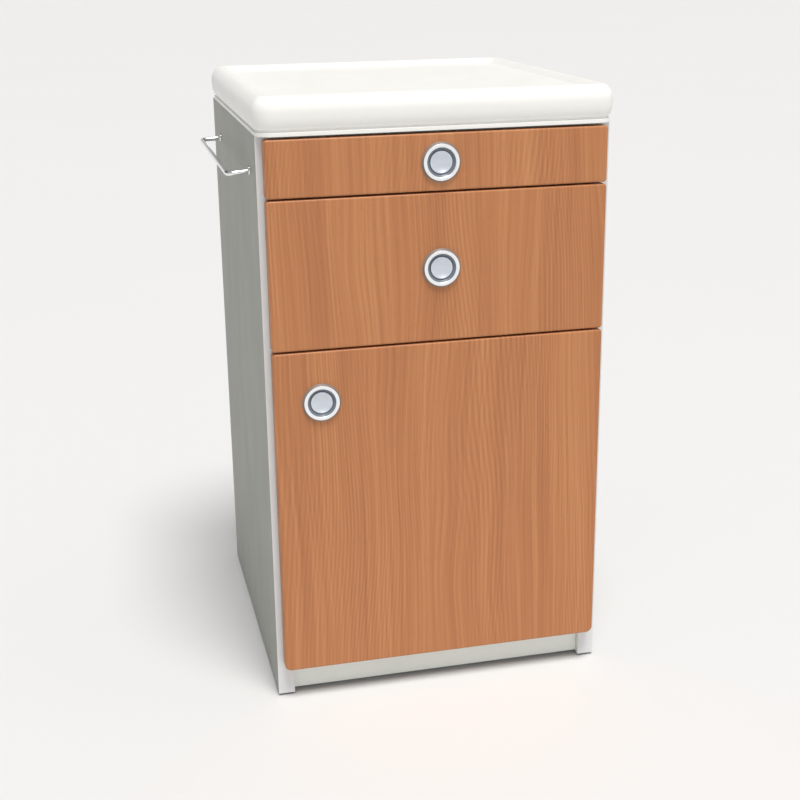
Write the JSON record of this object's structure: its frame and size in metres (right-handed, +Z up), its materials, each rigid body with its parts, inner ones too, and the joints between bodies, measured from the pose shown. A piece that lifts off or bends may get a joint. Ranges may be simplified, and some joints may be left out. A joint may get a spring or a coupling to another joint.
{
  "type": "bedside cabinet",
  "caption": "Upright bedside cabinet: moulded top, drawers above a hinged cupboard, round push-lock knobs, and a wire towel rail on its left side.",
  "frame": {"origin": "on the floor, at the centre of the body's footprint", "axes": "+Z up, +X to the right as seen from the front, the fronts face -Y"},
  "size_m": [0.484, 0.4867, 0.8],
  "materials": {
    "inner_board": "white melamine-faced board",
    "side_laminate": "light grey laminate on board",
    "plinth_board": "white foil on board",
    "back_board": "white lacquered hardboard",
    "white_edging": "glossy edge band",
    "beech_front": "satin beech foil pressed over board",
    "moulded_top": "soft gloss, off-white",
    "chrome_wire": "polished chrome",
    "chrome_ring": "polished chrome",
    "satin_button": "satin chrome",
    "zinc_steel": "bright zinc plate",
    "nickel_steel": "nickel plate",
    "black_plastic": "matt black",
    "clear_rubber": "translucent pad"
  },
  "bodies": {
    "cabinet": {"side_panel_left": "side_laminate", "side_panel_right": "side_laminate", "front_edging": "white_edging", "shelf": "inner_board", "shelf_pegs": "zinc_steel", "floor_glides": "black_plastic", "top_fixing_screws": "zinc_steel", "back_panel_screws": "zinc_steel", "top_shell": "moulded_top", "top_core": "inner_board", "towel_rail": "chrome_wire", "rail_ferrules": "chrome_wire", "drawer_1_slide_outer": "zinc_steel", "drawer_2_slide_outer": "zinc_steel", "hinge_arm_lower": "nickel_steel", "hinge_arm_upper": "nickel_steel", "door_buffers": "clear_rubber", "base_panel": "inner_board", "plinth_front": "plinth_board", "plinth_rear": "inner_board", "divider_panel": "inner_board", "middle_rail": "inner_board", "top_rail_front": "inner_board", "top_rail_rear": "inner_board", "back_panel": "back_board", "keepers": "zinc_steel"},
    "drawer_1": {"drawer_1_front": "beech_front", "drawer_1_side_left": "inner_board", "drawer_1_side_right": "inner_board", "drawer_1_back": "inner_board", "drawer_1_bottom": "back_board", "drawer_1_slide_inner": "zinc_steel", "drawer_1_rosette": "chrome_ring", "drawer_1_lock_case": "black_plastic"},
    "drawer_1_runner": {"drawer_1_slide_middle": "zinc_steel"},
    "drawer_1_button": {"drawer_1_button": "satin_button"},
    "drawer_1_bolt": {"drawer_1_bolt": "zinc_steel"},
    "drawer_2": {"drawer_2_front": "beech_front", "drawer_2_side_left": "inner_board", "drawer_2_side_right": "inner_board", "drawer_2_back": "inner_board", "drawer_2_bottom": "back_board", "drawer_2_slide_inner": "zinc_steel", "drawer_2_rosette": "chrome_ring", "drawer_2_lock_case": "black_plastic"},
    "drawer_2_runner": {"drawer_2_slide_middle": "zinc_steel"},
    "drawer_2_button": {"drawer_2_button": "satin_button"},
    "drawer_2_bolt": {"drawer_2_bolt": "zinc_steel"},
    "door": {"door_panel": "beech_front", "hinge_cup_lower": "nickel_steel", "hinge_cup_upper": "nickel_steel", "hinge_pins": "nickel_steel", "hinge_screws": "nickel_steel", "door_rosette": "chrome_ring", "door_lock_case": "black_plastic"},
    "door_button": {"door_button": "satin_button"},
    "door_bolt": {"door_bolt": "zinc_steel"}
  },
  "joints": [
    {"name": "drawer_1_slide", "type": "slide", "parent": "cabinet", "child": "drawer_1", "axis": [0, -1, 0], "range_m": [0, 0.32]},
    {"name": "drawer_1_runner_slide", "type": "slide", "parent": "cabinet", "child": "drawer_1_runner", "axis": [0, -1, 0], "range_m": [0, 0.16]},
    {"name": "drawer_1_button_travel", "type": "slide", "parent": "drawer_1", "child": "drawer_1_button", "axis": [0, -1, 0], "range_m": [0, 0.012]},
    {"name": "drawer_1_bolt_travel", "type": "slide", "parent": "drawer_1", "child": "drawer_1_bolt", "axis": [0, 0, -1], "range_m": [0, 0.006]},
    {"name": "drawer_2_slide", "type": "slide", "parent": "cabinet", "child": "drawer_2", "axis": [0, -1, 0], "range_m": [0, 0.32]},
    {"name": "drawer_2_runner_slide", "type": "slide", "parent": "cabinet", "child": "drawer_2_runner", "axis": [0, -1, 0], "range_m": [0, 0.16]},
    {"name": "drawer_2_button_travel", "type": "slide", "parent": "drawer_2", "child": "drawer_2_button", "axis": [0, -1, 0], "range_m": [0, 0.012]},
    {"name": "drawer_2_bolt_travel", "type": "slide", "parent": "drawer_2", "child": "drawer_2_bolt", "axis": [0, 0, -1], "range_m": [0, 0.006]},
    {"name": "door_hinge", "type": "hinge", "parent": "cabinet", "child": "door", "pos_m": [0.209, -0.24, 0.2655], "axis": [0, 0, 1], "range_deg": [0, 100]},
    {"name": "door_button_travel", "type": "slide", "parent": "door", "child": "door_button", "axis": [0, -1, 0], "range_m": [0, 0.012]},
    {"name": "door_bolt_travel", "type": "slide", "parent": "door", "child": "door_bolt", "axis": [1, 0, 0], "range_m": [0, 0.006]}
  ],
  "couplings": [
    {"joint": "drawer_1_runner_slide", "follows": "drawer_1_slide", "ratio": 0.5},
    {"joint": "drawer_1_bolt_travel", "follows": "drawer_1_button_travel", "ratio": 0.5},
    {"joint": "drawer_2_runner_slide", "follows": "drawer_2_slide", "ratio": 0.5},
    {"joint": "drawer_2_bolt_travel", "follows": "drawer_2_button_travel", "ratio": 0.5},
    {"joint": "door_bolt_travel", "follows": "door_button_travel", "ratio": 0.5}
  ]
}
